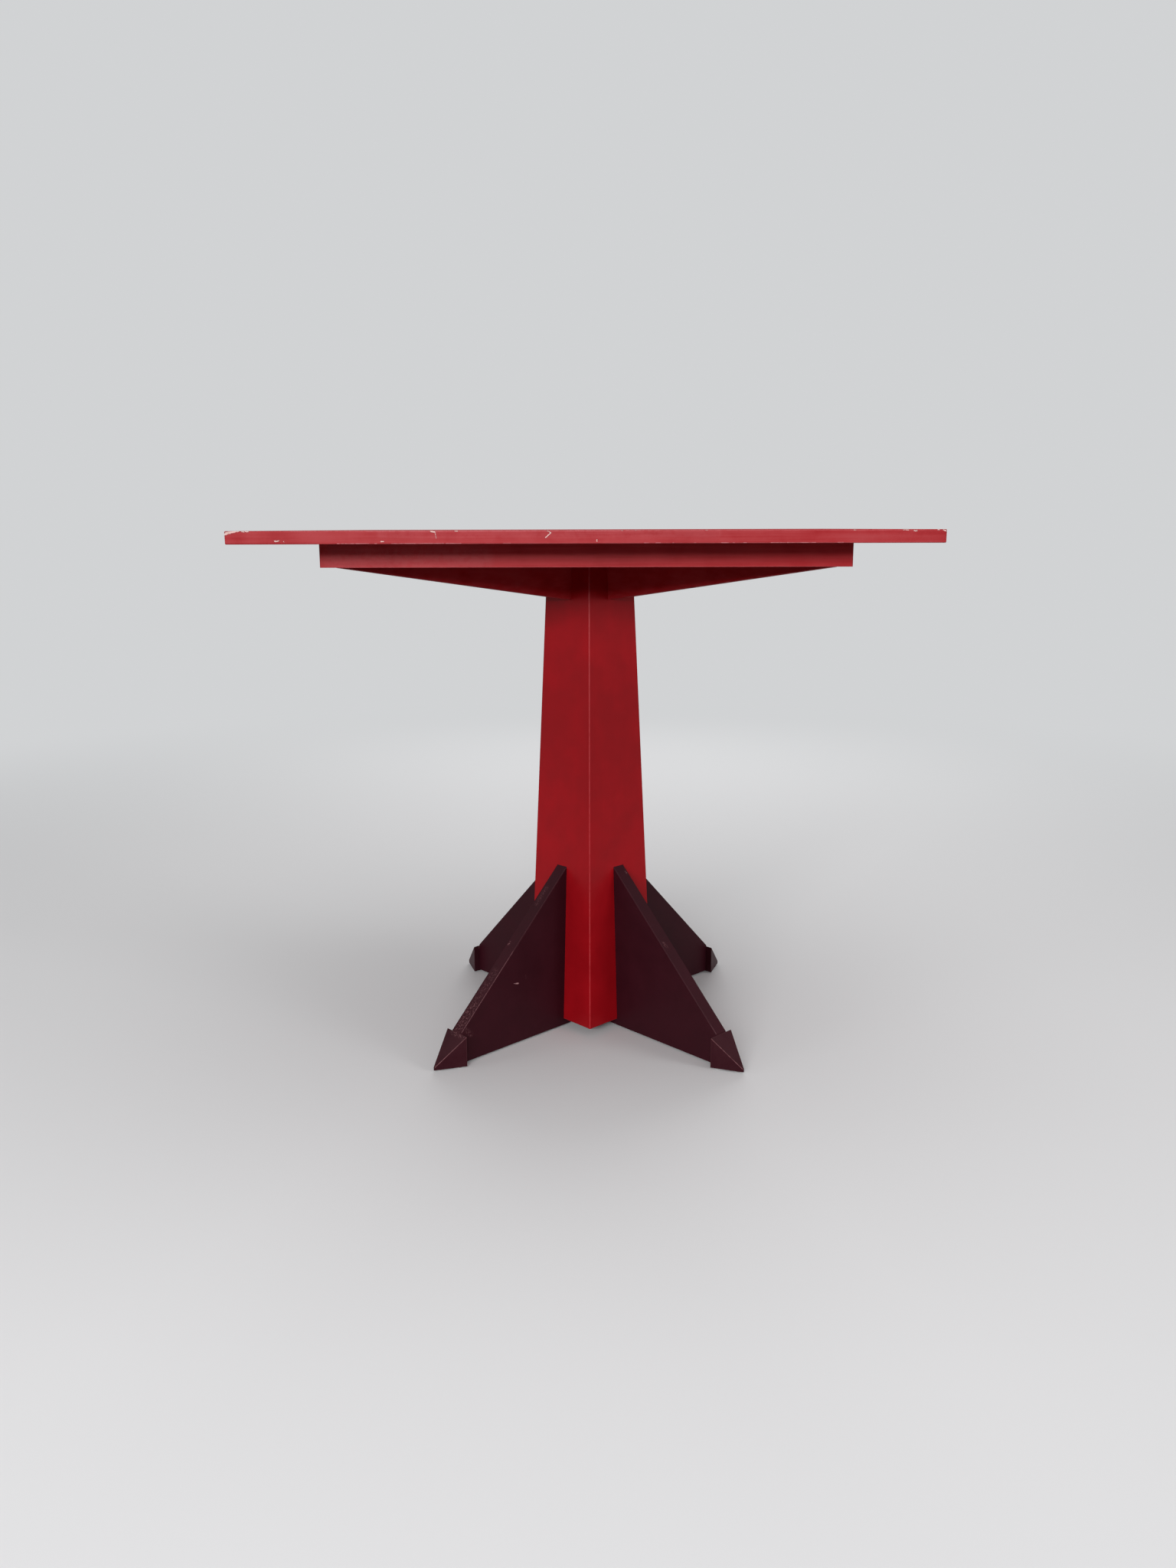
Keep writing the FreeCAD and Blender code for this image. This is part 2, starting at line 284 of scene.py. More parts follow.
def tint(tree, share, first, second):
    """Colour that goes from first to second as share goes from 0 to 1."""
    node = tree.nodes.new("ShaderNodeMix")
    node.data_type = "RGBA"
    for place, value in ((0, share), (6, first), (7, second)):
        if isinstance(value, bpy.types.NodeSocket):
            tree.links.new(value, node.inputs[place])
        elif isinstance(value, tuple):
            node.inputs[place].default_value = (*value, 1.0)
        else:
            node.inputs[place].default_value = value
    return node.outputs[2]


def object_place(tree):
    """Place on the piece in metres, in the table's own frame."""
    return tree.nodes.new("ShaderNodeTexCoord").outputs["Object"]


def split(tree, place):
    """The x, y and z of a place."""
    return put(tree, "SeparateXYZ", place).outputs[:]


def nearest_edge(tree, *depths):
    """Distance to the nearest edge, from the depths below each of the solid's faces.

    On the surface the least depth is zero, so the least sum of two depths is the second one.
    """
    sums = []
    for index, first in enumerate(depths):
        for second in depths[index + 1:]:
            sums.append(calc(tree, "ADD", first, second))
    return pick(tree, "MINIMUM", sums)


def stroke(tree, place, start, end, half_width):
    """Distance to a knock from start to end, in its own half widths: under 1 is inside it."""
    run = Vector(end) - Vector(start)
    from_start = lay(tree, "SUBTRACT", place, tuple(start))
    along = gauge(tree, "DOT_PRODUCT", from_start, tuple(run / run.length_squared))
    along = put(tree, "Clamp", along).outputs[0]
    nearest = put(tree, "VectorMath", tuple(run), None, None, along, operation="SCALE")
    away = gauge(tree, "DISTANCE", from_start, nearest.outputs["Vector"])
    return calc(tree, "DIVIDE", away, half_width)


def covered(tree, place, marks, solid_to):
    """Largest share of the (start, end, half width, share) marks that cover a place.

    A mark covers fully out to solid_to of its half width and fades to nothing at its edge.
    """
    covers = []
    for start, end, half_width, share in marks:
        away = stroke(tree, place, start, end, half_width)
        covers.append(calc(tree, "SUBTRACT", share, rise(tree, away, solid_to, 1.0, share)))
    return pick(tree, "MAXIMUM", covers)


def shaken(tree, place, shake, reach):
    """Place moved by a random shake times the reach, so that a mark's outline is ragged."""
    jolt = put(tree, "VectorMath", shake, None, None, reach, operation="SCALE")
    return lay(tree, "ADD", place, jolt.outputs["Vector"])


# Unevenness in the lacquer: patches to the metre, fineness and roughness of each kind. Brush
# lines and scratches are drawn out first, so theirs are patches to the length they are drawn to.
uneven = {
    "broad": (3.1, 2.0),
    "scratched": (3.6, 2.0),
    "cloud": (22.0, 4.0, 0.55),
    "flake": (34.0, 4.0, 0.7),
    "break": (160.0, 3.0, 0.6),
    "peel": (420.0, 2.0),
    "speck": (430.0, 4.0, 0.65),
    "ragged": (900.0, 3.0, 0.7),
    "grit": (1150.0, 3.0, 0.6),
    "brush": (1.0, 4.0, 0.6),
    "scratch": (1.0, 1.0),
}
# Where each of them, or the distance to an edge or a knock, starts to show and shows fully.
shows = {
    "tone": (0.34, 0.66),
    "haze": (0.30, 0.70),
    "scratched": (0.26, 0.74),
    "scratch": (0.675, 0.715),
    "edge rub": (0.3, 1.2),
    "break": (0.34, 0.56),
    "speck": (0.46, 0.68),
    "flake": (0.60, 0.78),
    "dirt": (0.40, 0.60),
    "knock": (0.80, 1.0),
    "knock rim": (1.05, 1.35),
    "knock feather": (0.35, 0.85),
}


def brush_lines(tree, place, grain):
    """Lines that the brush left: noise on the place times the grain, which draws it out."""
    drawn = put(tree, "Mapping", place)
    drawn.inputs["Scale"].default_value = grain
    return mottle(tree, drawn.outputs[0], *uneven["brush"])


# Fine scratches on an upper face: length and width in metres, and the angles they lie at.
scratch_size = (0.16, 0.0011, 1.0)
scratch_turns = (0.5, 1.9, 2.7)
scratch_share = 0.60


def hairlines(tree, place):
    """Sparse fine straight scratches: crests of noise drawn out at each angle, in patches."""
    scratches = []
    for turn in scratch_turns:
        drawn = put(tree, "Mapping", place, vector_type="TEXTURE")
        drawn.inputs["Rotation"].default_value = (0.0, 0.0, turn)
        drawn.inputs["Scale"].default_value = scratch_size
        crests = mottle(tree, drawn.outputs[0], *uneven["scratch"])
        scratches.append(rise(tree, crests, *shows["scratch"]))
    often = rise(tree, mottle(tree, place, *uneven["scratched"]), *shows["scratched"])
    return calc(tree, "MULTIPLY", pick(tree, "MAXIMUM", scratches), often)


# How much the clouds swing the tone, the shares of haze that an upper and a lower face are
# spared, how much of a mark is solid, and what a break leaves of a rub. Then, in metres, how
# wide the rub along an edge is, how far a flake reaches in from an edge, the widths of a
# flake's outline and dark rim, and how ragged the marks are.
tone_swing = 0.14
cloud_share = 0.4
upper_spared = 0.68
lower_spared = 0.85
rub_solid = 0.35
scrape_solid = 0.2
break_leaves = 0.5
edge_rub_least = 0.0003
edge_rub_swing = 0.0012
flake_reach = 0.0042
flake_held_back = 0.0007
flake_outline = 0.00018
flake_rim = (-0.00035, -0.00005)
rub_ragged = 0.0005
chip_ragged = 0.0018
rim_share = 0.55
# What each kind of wear adds to the roughness, the film's thickness in metres, and the heights
# of the brush lines, the fine peel and a chip's floor as shares of it.
cloud_dulls = 0.16
rub_dulls = 0.12
chip_dulls = 0.45
upper_dulls = 0.4
film_thickness = 0.0004
film_strength = 0.9
brush_height = 0.10
peel_height = 0.02
chip_height = -0.7


def lacquer(name, body_colour, haze, edges, grain, wear=1.0, knocks=(), rubs_and_highlights=(), scrapes=(),
            rub_and_light_colour=red_rubbed_and_lit, under=(undercoat, undercoat_dirty), satin=0.38, streak=0.3,
            scuff=0.0, gloss=0.17, haze_share=0.4, faces=None, chips=(), fold=None):
    """Brushed lacquer with clouded tone, faint brush lines, rubbed edges and chips.

    edges(tree, x, y, z) gives the distance to the nearest edge, grain is how many brush lines
    lie in a metre along x, y and z, streak their strength, and wear scales the flakes off the
    edges. Knocks are (start, end, half width) marks down to the two undercoat tones. Rubs are
    (start, end, half width, share) lines in the rub colour: rubbed lacquer, and on the top's
    upper arrises and the rails' left ends a painted highlight and painted light. Scrapes are
    such places scuffed in specks. Satin is the roughness, scuff the share of haze all over,
    haze share that on the edges and gloss the strength of the shine. faces(tree, x, y, z)
    tells a board's upper and lower faces and its crosswise edges. Chips are knocks that, with
    the rub lines and scrapes, are found again where fold(tree, x, y, z) brings the other sides
    onto the front.
    """
    material = bpy.data.materials.new(name)
    material.use_nodes = True
    tree = material.node_tree
    shader = tree.nodes["Principled BSDF"]
    place = object_place(tree)
    x, y, z = split(tree, place)
    folded = fold(tree, x, y, z) if fold else place
    cloud = mottle(tree, place, *uneven["cloud"])
    peel = mottle(tree, place, *uneven["peel"])
    lines = brush_lines(tree, place, grain)
    if faces:
        upper, lower, crosswise = faces(tree, x, y, z)
        change = calc(tree, "SUBTRACT",
                      brush_lines(tree, place, (grain[1], grain[0], grain[2])), lines)
        lines = calc(tree, "MULTIPLY_ADD", change, crosswise, lines)

    # Body: the tone swings with broad and close clouds and with the brush lines.
    broad = mottle(tree, place, *uneven["broad"])
    tone = calc(tree, "MULTIPLY_ADD", broad, 1.0 - cloud_share - streak,
                calc(tree, "MULTIPLY", cloud, cloud_share))
    tone = calc(tree, "ADD", tone, calc(tree, "MULTIPLY", lines, streak))
    deep = tuple(channel * (1.0 - tone_swing) for channel in body_colour)
    bright = tuple(channel * (1.0 + tone_swing) for channel in body_colour)
    colour = tint(tree, rise(tree, tone, *shows["tone"]), deep, bright)

    # Haze: half clouds and half brush lines, with hairline scratches on an upper face.
    hazed = calc(tree, "MULTIPLY_ADD", cloud, 0.5, calc(tree, "MULTIPLY", lines, 0.5))
    hazed = calc(tree, "MULTIPLY", rise(tree, hazed, *shows["haze"]), scuff)
    if faces:
        left = calc(tree, "MULTIPLY_ADD", lower, -lower_spared, 1.0)
        left = calc(tree, "MULTIPLY_ADD", upper, -upper_spared, left)
        scratched = calc(tree, "MULTIPLY", hairlines(tree, place), upper)
        hazed = calc(tree, "MAXIMUM", calc(tree, "MULTIPLY", hazed, left),
                     calc(tree, "MULTIPLY", scratched, scratch_share))
    colour = tint(tree, hazed, colour, haze)

    # Edges: a rub whose width follows the clouds runs along every arris.
    edge = edges(tree, x, y, z)
    rub_reach = calc(tree, "MULTIPLY_ADD", cloud, edge_rub_swing, edge_rub_least)
    rubbed = fall(tree, calc(tree, "DIVIDE", edge, rub_reach), *shows["edge rub"])
    colour = tint(tree, calc(tree, "MULTIPLY", rubbed, haze_share), colour, haze)

    # Rubs and scrapes: the first are broken lines, the second clouds of specks. The rub lines also
    # carry a painted highlight on the top's upper arrises and painted light at the rails' left
    # ends.
    ragged = noise(tree, place, *uneven["ragged"]).outputs["Color"]
    shake = lay(tree, "SUBTRACT", ragged, (0.5, 0.5, 0.5))
    if rubs_and_highlights:
        breaks = rise(tree, mottle(tree, place, *uneven["break"]), *shows["break"])
        rubbed_and_lit = covered(tree, shaken(tree, folded, shake, rub_ragged), rubs_and_highlights, rub_solid)
        rubbed_and_lit = calc(tree, "MULTIPLY", rubbed_and_lit,
                    calc(tree, "MULTIPLY_ADD", breaks, 1.0 - break_leaves, break_leaves))
        colour = tint(tree, rubbed_and_lit, colour, rub_and_light_colour)
    if scrapes:
        specks = rise(tree, mottle(tree, place, *uneven["speck"]), *shows["speck"])
        scraped = calc(tree, "MULTIPLY", covered(tree, folded, scrapes, scrape_solid), specks)
        colour = tint(tree, scraped, colour, rub_and_light_colour)

    # Chips: flakes off the edges and the knocks, each with a dark rim round the undercoat.
    flaked = rise(tree, mottle(tree, place, *uneven["flake"]), *shows["flake"])
    grit = mottle(tree, place, *uneven["grit"])
    reach = calc(tree, "MULTIPLY_ADD", grit, flake_reach * wear, -flake_held_back)
    depth = calc(tree, "SUBTRACT", calc(tree, "MULTIPLY", flaked, reach), edge)
    chipped = rise(tree, depth, 0.0, flake_outline)
    rimmed = rise(tree, depth, *flake_rim)
    primer = tint(tree, rise(tree, peel, *shows["dirt"]), *under)
    if knocks:
        from_marks = []
        for from_place, marks in ((place, knocks), (folded, chips)):
            ragged_place = shaken(tree, from_place, shake, chip_ragged)
            from_marks += [stroke(tree, ragged_place, *mark) for mark in marks]
        nearest = pick(tree, "MINIMUM", from_marks)
        inside = fall(tree, nearest, *shows["knock"])
        chipped = calc(tree, "MAXIMUM", chipped, inside)
        rimmed = calc(tree, "MAXIMUM", rimmed, fall(tree, nearest, *shows["knock rim"]))
        feather = rise(tree, nearest, *shows["knock feather"])
        feathered = calc(tree, "MULTIPLY", feather, inside)
        primer = tint(tree, feathered, primer, rub_and_light_colour)
    colour = tint(tree, calc(tree, "MULTIPLY", rimmed, rim_share), colour, chip_rim)
    tree.links.new(tint(tree, chipped, colour, primer), shader.inputs["Base Color"])

    shader.inputs["Specular IOR Level"].default_value = gloss
    dull = calc(tree, "MULTIPLY_ADD", cloud, cloud_dulls, satin - cloud_dulls / 2)
    dull = calc(tree, "MULTIPLY_ADD", rubbed, rub_dulls, dull)
    dull = calc(tree, "MULTIPLY_ADD", chipped, chip_dulls, dull)
    if faces:
        dull = calc(tree, "MULTIPLY_ADD", upper, upper_dulls, dull)
    tree.links.new(dull, shader.inputs["Roughness"])

    film = calc(tree, "MULTIPLY_ADD", lines, brush_height * streak,
                calc(tree, "MULTIPLY", peel, peel_height))
    film = calc(tree, "MULTIPLY_ADD", chipped, chip_height, film)
    relief = tree.nodes.new("ShaderNodeBump")
    relief.inputs["Strength"].default_value = film_strength
    relief.inputs["Distance"].default_value = film_thickness
    tree.links.new(film, relief.inputs["Height"])
    tree.links.new(relief.outputs["Normal"], shader.inputs["Normal"])
    return material


def dress(names, material):
    """Gives a material to every slot of the named CAD nodes."""
    for name in names:
        for slot in nodes[name].material_slots:
            slot.material = material


def top_edges(tree, x, y, z):
    """Depths below the top's sides, upper and lower faces."""
    half = top_high.x
    side_x = calc(tree, "SUBTRACT", half, calc(tree, "ABSOLUTE", x))
    side_y = calc(tree, "SUBTRACT", half, calc(tree, "ABSOLUTE", y))
    above = calc(tree, "SUBTRACT", top_high.z, z)
    below = calc(tree, "SUBTRACT", z, top_low.z)
    return nearest_edge(tree, side_x, side_y, above, below)


def front_mark(across, down, across_to, down_to, half_width):
    """Knock on the front edge of the top: millimetres from its left end and its upper face."""
    front = top_low.y
    start = (top_low.x + across * mm, front, top_high.z - down * mm)
    end = (top_low.x + across_to * mm, front, top_high.z - down_to * mm)
    return start, end, half_width * mm


# Chips, found on every edge in like places, and the knocks that only the front edge has.
top_chips = [front_mark(*chip) for chip in (
    (0.8, 3.6, 3.6, 2.8, 1.5),
    (2.6, 2.2, 7.4, 1.6, 1.7),
    (6.8, 1.4, 12.2, 0.8, 1.3),
    (12.0, 0.4, 17.0, 0.2, 0.9),
    (20.4, 0.5, 23.0, 0.8, 0.8),
    (24.5, 0.4, 28.0, 0.4, 0.9),
    (57.6, 11.2, 59.5, 11.6, 0.9),
    (59.5, 11.6, 62.3, 10.8, 0.8),
    (68.0, 11.9, 68.2, 11.9, 0.6),
    (179.0, 12.0, 181.8, 12.0, 0.8),
    (263.2, 0.4, 266.2, 0.5, 0.8),
    (452.0, 0.2, 454.0, 0.2, 0.6),
    (467.0, 0.2, 468.5, 0.2, 0.6),
    (546.5, 0.2, 549.0, 0.2, 0.6),
    (713.5, 0.3, 715.5, 0.3, 0.7),
    (769.0, 0.4, 774.5, 0.5, 0.75),
    (781.0, 1.6, 784.0, 1.7, 0.7),
    (807.5, 0.4, 809.0, 0.4, 0.7),
    (813.8, 0.7, 817.5, 2.2, 0.9),
)]
top_knocks = [front_mark(*knock) for knock in (
    (236.0, 0.8, 240.0, 1.4, 1.1),
    (240.8, 2.2, 242.0, 8.8, 0.4),
    (366.3, -0.4, 372.0, 2.6, 0.55),
    (372.0, 2.8, 366.0, 8.0, 0.7),
    (424.0, 10.4, 424.2, 12.4, 0.5),
)]
# Rubs and a painted highlight, each with its share: a painted highlight along the upper arris for
# most of its length, strongest in the middle stretch, the lower arris rubbed faintly all along and
# hard in many short runs, and a broad band that sitters have rubbed.
upper_arris_highlight_depth = 0.4
lower_arris = (top_high.z - top_low.z) / mm - 0.65
lower_arris_runs = (
    (129, 131), (134, 136), (138, 148), (150, 165), (172, 174), (191, 247), (248, 250), (253, 267),
    (268, 270), (318, 326), (478, 483), (491, 496), (510, 511), (534, 536), (565, 573), (578, 580),
    (590, 593), (621, 637), (639, 671), (696, 702),
)
run_half_width = 0.75
top_rubs_and_highlight = [
    (*front_mark(76.0, upper_arris_highlight_depth, 794.0, upper_arris_highlight_depth, 0.62), 0.45),
    (*front_mark(163.0, upper_arris_highlight_depth, 494.0, upper_arris_highlight_depth, 0.62), 0.85),
    (*front_mark(130.0, lower_arris, 802.0, lower_arris, 0.5), 0.35),
    (*front_mark(180.0, 3.6, 560.0, 3.6, 7.0), 0.09),
]
for run_from, run_to in lower_arris_runs:
    run = front_mark(run_from, lower_arris, run_to, lower_arris, run_half_width)
    top_rubs_and_highlight.append((*run, 1.0))


def top_faces(tree, x, y, z):
    """1 on the upper face, on the lower face, and on the left and right edges.

    Each blends into its neighbours within the rounded arris.
    """
    inner, outer = 0.6 * mm, 0.1 * mm
    upper = rise(tree, z, top_high.z - inner, top_high.z - outer)
    lower = fall(tree, z, top_low.z + outer, top_low.z + inner)
    far_x = calc(tree, "ABSOLUTE", x)
    return upper, lower, rise(tree, far_x, top_high.x - inner, top_high.x - outer)


def onto_front(tree, x, y, z):
    """Place mirrored across the diagonals onto the front edge: it is unchanged there."""
    reach = calc(tree, "MAXIMUM", calc(tree, "ABSOLUTE", x), calc(tree, "ABSOLUTE", y))
    inward = calc(tree, "MULTIPLY", reach, -1.0)
    across = calc(tree, "DIVIDE", calc(tree, "MULTIPLY", x, y), inward)
    return put(tree, "CombineXYZ", across, inward, z).outputs[0]


top_paint = lacquer(
    "red_lacquer_top", red, red_haze, top_edges, (5.0, 190.0, 190.0), knocks=top_knocks,
    rubs_and_highlights=top_rubs_and_highlight, satin=0.56, scuff=0.80, faces=top_faces, chips=top_chips, fold=onto_front)
dress(["tabletop"], top_paint)


# Apron: four rails mitred into a frame under the top, lacquered with it in the same red, which is
# painted lighter here to stand in for light under the top. Their lower arrises and mitres are
# rubbed, with few chips because the top shelters them.
apron_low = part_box("apron_front")[0]
apron_thickness = 0.015
# Lighter than the top's red: painted light, not a different lacquer.
apron_red_painted_lighter = (0.41, 0.0055, 0.0105)


def apron_edges(tree, x, y, z):
    """Depths below the frame's outer face, mitred end and underside."""
    half = -apron_low.y
    far_x, far_y = calc(tree, "ABSOLUTE", x), calc(tree, "ABSOLUTE", y)
    face = calc(tree, "SUBTRACT", half, calc(tree, "MAXIMUM", far_x, far_y))
    corner = calc(tree, "SUBTRACT", half, calc(tree, "MINIMUM", far_x, far_y))
    below = calc(tree, "SUBTRACT", z, apron_low.z)
    return nearest_edge(tree, face, corner, below)


# The lower arris is rubbed all along, and a pool of light is painted as haze on the rails towards
# their left ends.
arris_y = apron_low.y + 0.4 * mm
arris_z = apron_low.z + 0.6 * mm
light_band_z = apron_low.z + 8.0 * mm
apron_rubs_and_light = [
    ((apron_low.x, arris_y, arris_z), (-apron_low.x, arris_y, arris_z), 0.6 * mm, 0.4),
    ((-0.300, apron_low.y, light_band_z), (-0.130, apron_low.y, light_band_z), 26.0 * mm, 0.12),
]
apron_paint = lacquer(
    "red_lacquer_apron", apron_red_painted_lighter, red_haze, apron_edges, (9.0, 9.0, 210.0), wear=0.45,
    rubs_and_highlights=apron_rubs_and_light, satin=0.42, scuff=0.4, fold=onto_front)
dress(["apron_front", "apron_right", "apron_back", "apron_left"], apron_paint)


# Bearers: two boards on edge that cross in the column and carry the top on the diagonals.
# They are lacquered red before they are screwed on, and only their lower edges are rubbed.
# Their red is painted lighter and hazier than the top's, as painted light in the top's shade.
bearer_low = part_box("bearer_lower")[0]
bearer_half_thickness = 0.009
bearer_tip_reach = -(apron_low.y + apron_thickness) * math.sqrt(2.0)
bearer_root_reach = 0.0469
bearer_slope = (apron_low.z - bearer_low.z) / (bearer_tip_reach - bearer_root_reach)
# Lighter than the top's red, with more scuff haze below: painted light in the shade under the top.
bearer_red_painted_lighter = (0.43, 0.0070, 0.0120)


def diagonals(tree, x, y):
    """Distances along the two diagonals: the larger, out along a board, and the smaller."""
    half_root = math.sqrt(0.5)
    first = calc(tree, "MULTIPLY", calc(tree, "ADD", x, y), half_root)
    second = calc(tree, "MULTIPLY", calc(tree, "SUBTRACT", x, y), half_root)
    first, second = calc(tree, "ABSOLUTE", first), calc(tree, "ABSOLUTE", second)
    return calc(tree, "MAXIMUM", first, second), calc(tree, "MINIMUM", first, second)


def bearer_edges(tree, x, y, z):
    """Depths below a bearer's side and its lower edge, which slopes up out of the column."""
    out, aside = diagonals(tree, x, y)
    side = calc(tree, "SUBTRACT", bearer_half_thickness, aside)
    lower_at_axis = bearer_low.z - bearer_root_reach * bearer_slope
    lower = calc(tree, "MULTIPLY_ADD", out, bearer_slope, lower_at_axis)
    below = calc(tree, "SUBTRACT", z, lower)
    return nearest_edge(tree, side, below)


bearer_paint = lacquer(
    "red_lacquer_bearer", bearer_red_painted_lighter, red_haze, bearer_edges, (40.0, 40.0, 160.0), wear=0.3,
    satin=0.66, scuff=0.45, gloss=0.08)
dress(["bearer_lower", "bearer_upper"], bearer_paint)


# Column: four tapered boards mitred round a hollow, lacquered red, with a fine lighter line
# down each mitre. The lacquer is smooth and even, with a soft sheen.
column_low, column_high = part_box("column_board_front_left")
column_foot_half = 0.0685
column_head_half = 0.044
column_taper = (column_head_half - column_foot_half) / (column_high.z - column_low.z)
column_line_colour = (0.52, 0.085, 0.095)


def column_edges(tree, x, y, z):
    """Depths below a column face, the corner beside it and the foot."""
    out, aside = diagonals(tree, x, y)
    half_at_floor = column_foot_half - column_low.z * column_taper
    half = calc(tree, "MULTIPLY_ADD", z, column_taper, half_at_floor)
    face = calc(tree, "SUBTRACT", half, out)
    corner = calc(tree, "SUBTRACT", half, aside)
    below = calc(tree, "SUBTRACT", z, column_low.z)
    return nearest_edge(tree, face, corner, below)


# A fine line down each corner, on the flat of its arris, with one knock at the front.
arris_cut = 0.9 * mm
foot_corner = column_foot_half * math.sqrt(2.0) - arris_cut
head_corner = column_head_half * math.sqrt(2.0) - arris_cut
column_lines = [((0.0, -0.0755, 0.480), (0.0, -0.0752, 0.488), 1.1 * mm, 1.0)]
for way_x, way_y in ((0.0, -1.0), (1.0, 0.0), (0.0, 1.0), (-1.0, 0.0)):
    column_lines.append((
        (way_x * foot_corner, way_y * foot_corner, column_low.z),
        (way_x * head_corner, way_y * head_corner, column_high.z), 0.8 * mm, 0.5,
    ))
column_paint = lacquer(
    "red_lacquer_column", red, red_haze, column_edges, (120.0, 120.0, 3.0), wear=0.35,
    rubs_and_highlights=column_lines, rub_and_light_colour=column_line_colour, satin=0.36, streak=0.08, gloss=0.14)
dress([
    "column_board_front_left", "column_board_front_right",
    "column_board_back_right", "column_board_back_left",
], column_paint)


# Foot boards: two boards on edge that cross in the column's foot, lacquered dark maroon.
# Shoes have scuffed their sloped tops, and their edges are rubbed to a lighter line.
maroon = (0.036, 0.0050, 0.0094)
maroon_haze = (0.085, 0.037, 0.042)
maroon_rubbed = (0.27, 0.12, 0.13)
maroon_undercoats = ((0.46, 0.27, 0.28), (0.34, 0.19, 0.20))
foot_half_thickness = 0.0105
foot_low, foot_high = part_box("foot_board_lower")
foot_reach = 0.2665
foot_end_top = 0.049
foot_root_reach = 0.0603
foot_slope = (foot_high.z - foot_end_top) / (foot_reach - foot_root_reach)
foot_top_at_axis = foot_end_top + foot_reach * foot_slope


def foot_edges(tree, x, y, z):
    """Depths below a foot board's side, its top, which slopes at 45 degrees, and underside."""
    out, aside = diagonals(tree, x, y)
    side = calc(tree, "SUBTRACT", foot_half_thickness, aside)
    top = calc(tree, "MULTIPLY_ADD", out, -foot_slope, foot_top_at_axis)
    above = calc(tree, "MULTIPLY", calc(tree, "SUBTRACT", top, z), math.sqrt(0.5))
    below = calc(tree, "SUBTRACT", z, foot_low.z)
    return nearest_edge(tree, side, above, below)


front_left = Vector((-1.0, -1.0, 0.0)).normalized()
front_right = Vector((1.0, -1.0, 0.0)).normalized()
left_foot = (front_left, front_right)
right_foot = (front_right, front_left)


def on_foot(foot, out, aside, up):
    """Place on a foot, in millimetres: out along its diagonal, aside from it, and up."""
    out_way, aside_way = foot
    return (out_way * out + aside_way * aside) * mm + Vector((0.0, 0.0, up * mm))


def on_slope(foot, out, aside):
    """Place on the sloped top of a foot board, in millimetres."""
    return on_foot(foot, out, aside, foot_top_at_axis / mm - out * foot_slope)


# Two knocks on the side of the front left board, rubbed arrises and a faint scratch, and the
# slopes scraped where shoes have rested.
foot_knocks = [
    (on_foot(left_foot, 163.4, 10.5, 95.6), on_foot(left_foot, 159.6, 10.5, 94.8), 1.2 * mm),
    (on_foot(left_foot, 167.6, 10.5, 96.8), on_foot(left_foot, 164.0, 10.5, 96.2), 0.4 * mm),
]
foot_rubs = [
    (on_slope(left_foot, 62.0, 10.1), on_slope(left_foot, 168.0, 10.1), 0.6 * mm, 0.3),
    (on_slope(left_foot, 168.0, 10.1), on_slope(left_foot, 266.0, 10.1), 0.7 * mm, 0.85),
    (on_slope(right_foot, 256.0, 10.1), on_slope(right_foot, 266.0, 10.1), 0.6 * mm, 0.6),
    (on_foot(left_foot, 144.5, 10.5, 104.8), on_foot(left_foot, 144.4, 10.5, 98.0),
     0.6 * mm, 0.22),
]
foot_scrapes = [
    (on_slope(left_foot, 262.0, 0.0), on_slope(left_foot, 236.0, 0.0), 12.0 * mm, 0.60),
    (on_slope(left_foot, 232.0, 0.0), on_slope(left_foot, 196.0, 0.0), 10.0 * mm, 0.30),
    (on_slope(left_foot, 163.0, -6.3), on_slope(left_foot, 160.0, -6.0), 2.4 * mm, 0.9),
    (on_slope(left_foot, 110.0, -2.0), on_slope(left_foot, 90.0, -2.6), 5.5 * mm, 0.40),
    (on_foot(left_foot, 260.0, 10.5, 52.0), on_foot(left_foot, 250.0, 10.5, 42.0), 6.0 * mm, 0.35),
    (on_slope(right_foot, 163.0, 3.5), on_slope(right_foot, 158.0, 4.0), 4.0 * mm, 0.50),
    (on_slope(right_foot, 69.0, -6.6), on_slope(right_foot, 72.0, -6.2), 3.0 * mm, 0.7),
]


def back_onto_front(tree, x, y, z):
    """Place mirrored onto the front pair of feet: y becomes minus its own size."""
    inward = calc(tree, "MULTIPLY", calc(tree, "ABSOLUTE", y), -1.0)
    return put(tree, "CombineXYZ", x, inward, z).outputs[0]


foot_paint = lacquer(
    "maroon_lacquer_foot_board", maroon, maroon_haze, foot_edges, (60.0, 60.0, 60.0), wear=0.5,
    knocks=foot_knocks, rubs_and_highlights=foot_rubs, scrapes=foot_scrapes, rub_and_light_colour=maroon_rubbed,
    under=maroon_undercoats, satin=0.46, streak=0.15, gloss=0.10, haze_share=0.3,
    fold=back_onto_front)
dress(["foot_board_lower", "foot_board_upper"], foot_paint)


# Shoes: solid half pyramids on the ends of the foot boards, lacquered the same maroon.
# Their upper edges are the most rubbed places of the foot.
shoe_low, shoe_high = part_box("shoe_front_right")
shoe_back_half_width = 0.022
shoe_tip_half_width = 0.0008
shoe_tip_reach = 0.309
shoe_tip_top = 0.0066
shoe_length = shoe_tip_reach - foot_reach
shoe_narrowing = (shoe_back_half_width - shoe_tip_half_width) / shoe_length
shoe_fall = (shoe_high.z - shoe_tip_top) / shoe_length


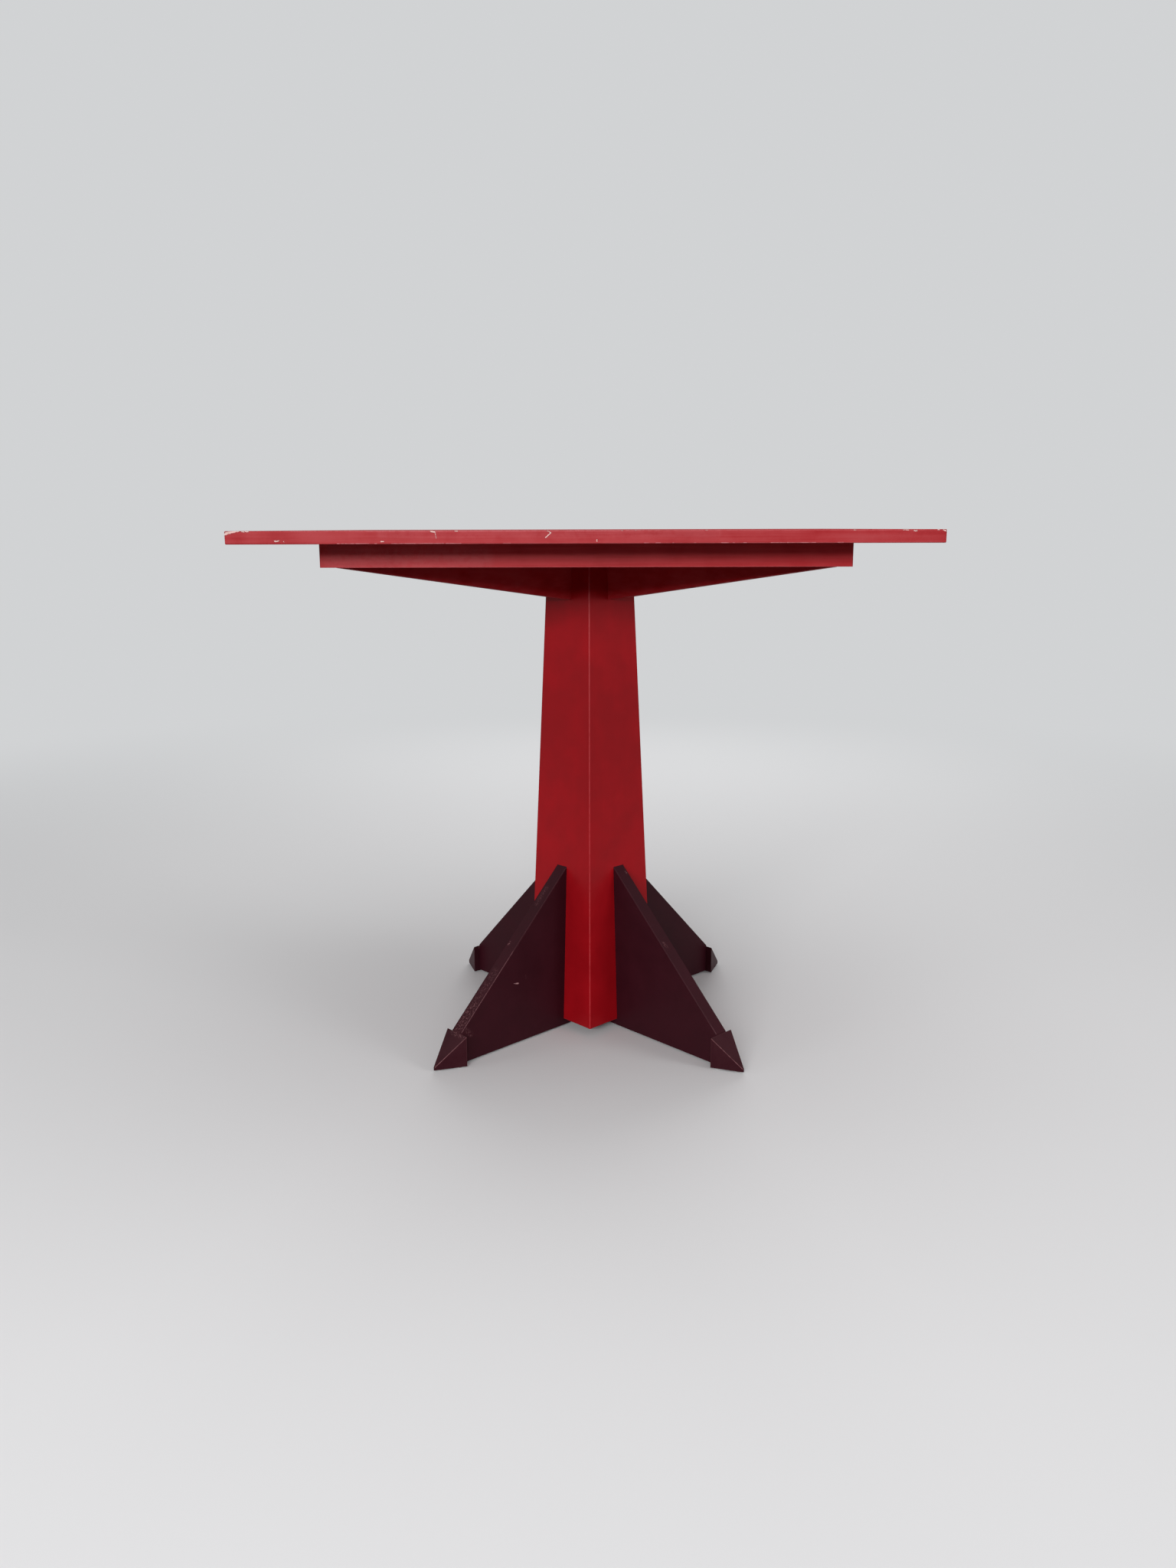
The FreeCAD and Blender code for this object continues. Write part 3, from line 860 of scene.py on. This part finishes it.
def shoe_edges(tree, x, y, z):
    """Depths below a shoe's side, sloped top, upright back and underside."""
    out, aside = diagonals(tree, x, y)
    half_at_axis = shoe_tip_half_width + shoe_tip_reach * shoe_narrowing
    half = calc(tree, "MULTIPLY_ADD", out, -shoe_narrowing, half_at_axis)
    side = calc(tree, "SUBTRACT", half, aside)
    top_at_axis = shoe_tip_top + shoe_tip_reach * shoe_fall
    top = calc(tree, "MULTIPLY_ADD", out, -shoe_fall, top_at_axis)
    above = calc(tree, "SUBTRACT", top, z)
    back = calc(tree, "SUBTRACT", out, foot_reach)
    below = calc(tree, "SUBTRACT", z, shoe_low.z)
    return nearest_edge(tree, side, above, back, below)


# The ridge of each shoe is worn from its back corner to its tip, and the left shoe is scraped
# on its top and at its tip.
shoe_rubs = [
    (on_foot(foot, 266.8, 21.4, 45.6), on_foot(foot, 307.8, 1.2, 6.9), 0.7 * mm, 1.0)
    for foot in (left_foot, right_foot)
]
shoe_scrapes = [
    (on_foot(left_foot, 268.0, -10.0, 44.6), on_foot(left_foot, 268.0, 15.0, 44.6),
     5.5 * mm, 0.65),
    (on_foot(left_foot, 305.0, 2.0, 9.5), on_foot(left_foot, 308.0, 0.0, 6.8), 2.0 * mm, 0.9),
]
shoe_paint = lacquer(
    "maroon_lacquer_shoe", maroon, maroon_haze, shoe_edges, (60.0, 60.0, 60.0), wear=0.8,
    rubs_and_highlights=shoe_rubs, scrapes=shoe_scrapes, rub_and_light_colour=maroon_rubbed, under=maroon_undercoats,
    satin=0.46, streak=0.15, scuff=0.15, gloss=0.10, haze_share=0.3, fold=back_onto_front)
dress(["shoe_front_left", "shoe_front_right", "shoe_back_right", "shoe_back_left"], shoe_paint)


# Hidden parts: pine strips glued in the column's corners, and plain steel screws and domed
# nail glides. The steel is dull, with darker spots where it has tarnished.
pine_pale = (0.52, 0.36, 0.20)
pine_dark = (0.36, 0.22, 0.11)
steel_pale = (0.62, 0.61, 0.60)
steel_dark = (0.30, 0.28, 0.26)


def grained(name, first, second, grain, metallic, roughness, per_metre):
    """Plain finish whose tone and roughness follow patches drawn out along the grain."""
    material = bpy.data.materials.new(name)
    material.use_nodes = True
    tree = material.node_tree
    shader = tree.nodes["Principled BSDF"]
    drawn = put(tree, "Mapping", object_place(tree))
    drawn.inputs["Scale"].default_value = grain
    tone = mottle(tree, drawn.outputs[0], per_metre, 4.0, 0.6, 0.4)
    colour = tint(tree, rise(tree, tone, 0.35, 0.65), first, second)
    tree.links.new(colour, shader.inputs["Base Color"])
    rough_swing = 0.2
    rough = calc(tree, "MULTIPLY_ADD", tone, rough_swing, roughness - rough_swing / 2)
    tree.links.new(rough, shader.inputs["Roughness"])
    shader.inputs["Metallic"].default_value = metallic
    return material


dress(
    ["column_strip_front", "column_strip_right", "column_strip_back", "column_strip_left"],
    grained("bare_pine", pine_pale, pine_dark, (1.0, 1.0, 0.06), 0.0, 0.65, 190.0))
dress(
    ["floor_glides", "bearer_screws", "apron_screws"],
    grained("dull_steel", steel_pale, steel_dark, (1.0, 1.0, 1.0), 1.0, 0.36, 380.0))
